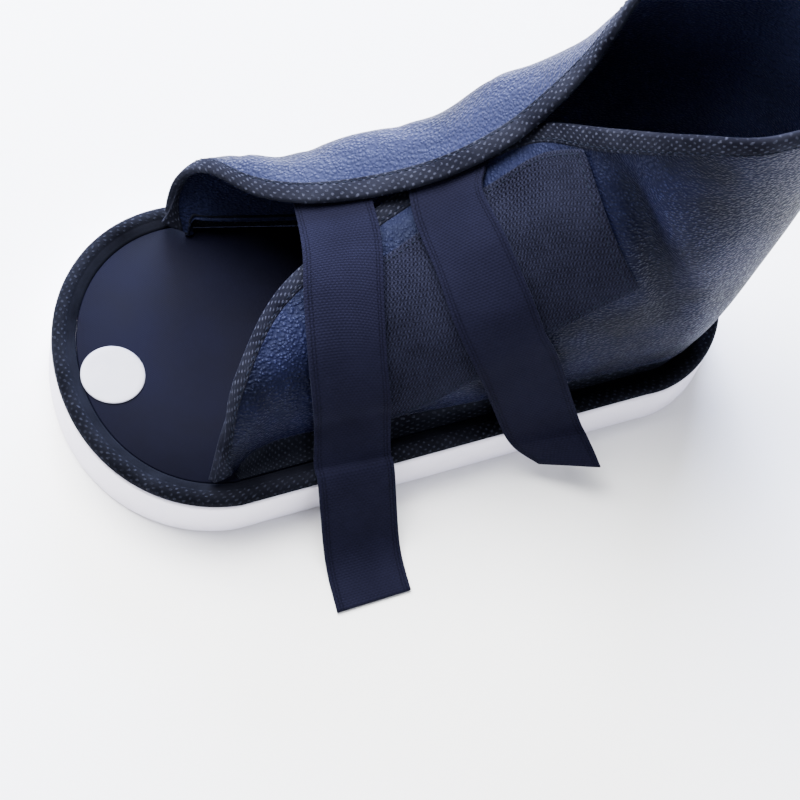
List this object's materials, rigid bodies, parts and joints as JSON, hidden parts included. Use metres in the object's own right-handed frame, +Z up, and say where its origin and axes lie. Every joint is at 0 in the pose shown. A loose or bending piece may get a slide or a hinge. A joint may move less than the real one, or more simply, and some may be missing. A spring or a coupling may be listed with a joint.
{
  "type": "walking boot",
  "caption": "Open-toed post-operative walking boot for a right foot: flat foam sole, wrap-over leather upper with bound edges, loop patch and webbing straps with free ends.",
  "frame": {"origin": "middle of the sole's underside", "axes": "-X to the toe, -Y to the inner (big toe) side, +Z up out of the leg opening"},
  "size_m": [0.2967, 0.1772, 0.2074],
  "materials": {
    "foam": "matt white foam",
    "insole_cover": "smooth dark sheet",
    "rim_tape": "woven tape",
    "leather": "pebbled, satin",
    "edge_tape": "woven tape",
    "loop_fabric": "fine loops",
    "webbing_front": "close webbing",
    "webbing_rear": "close webbing",
    "label": "white film"
  },
  "bodies": {
    "root": {"outsole": "foam", "insole": "insole_cover", "rim_binding": "rim_tape", "upper": "leather", "edge_binding": "edge_tape", "loop_patch": "loop_fabric", "front_strap": "webbing_front", "rear_strap": "webbing_rear", "size_label": "label"}
  },
  "joints": []
}
